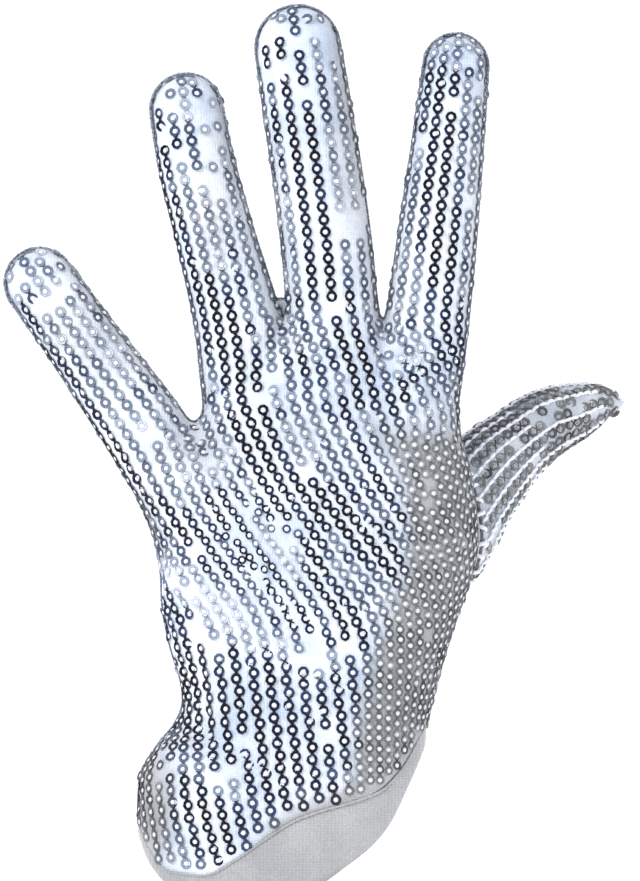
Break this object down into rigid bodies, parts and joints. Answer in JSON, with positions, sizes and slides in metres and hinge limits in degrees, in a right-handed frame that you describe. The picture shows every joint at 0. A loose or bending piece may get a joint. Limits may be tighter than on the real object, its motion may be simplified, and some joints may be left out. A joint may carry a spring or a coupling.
{
  "type": "sequin glove",
  "caption": "Left dress glove of pale stretch cloth sewn all over with rows of small dark cup sequins, kept in its worn form, with a plain knit band at the wrist.",
  "frame": {"origin": "middle of the wrist opening, on the glove's centre line", "axes": "+Z towards the fingertips, +X towards the thumb, -Y out of the back of the glove"},
  "size_m": [0.1702, 0.0723, 0.2373],
  "materials": {
    "sequined_cloth": "pale knit with glossy dark sequins",
    "band_knit": "matte knit"
  },
  "bodies": {
    "root": {"back_panel": "sequined_cloth", "palm_panel": "sequined_cloth", "little_back": "sequined_cloth", "little_palm": "sequined_cloth", "ring_back": "sequined_cloth", "ring_palm": "sequined_cloth", "middle_back": "sequined_cloth", "middle_palm": "sequined_cloth", "index_back": "sequined_cloth", "index_palm": "sequined_cloth", "thumb_back": "sequined_cloth", "thumb_palm": "sequined_cloth", "cuff_band": "band_knit"}
  },
  "joints": []
}
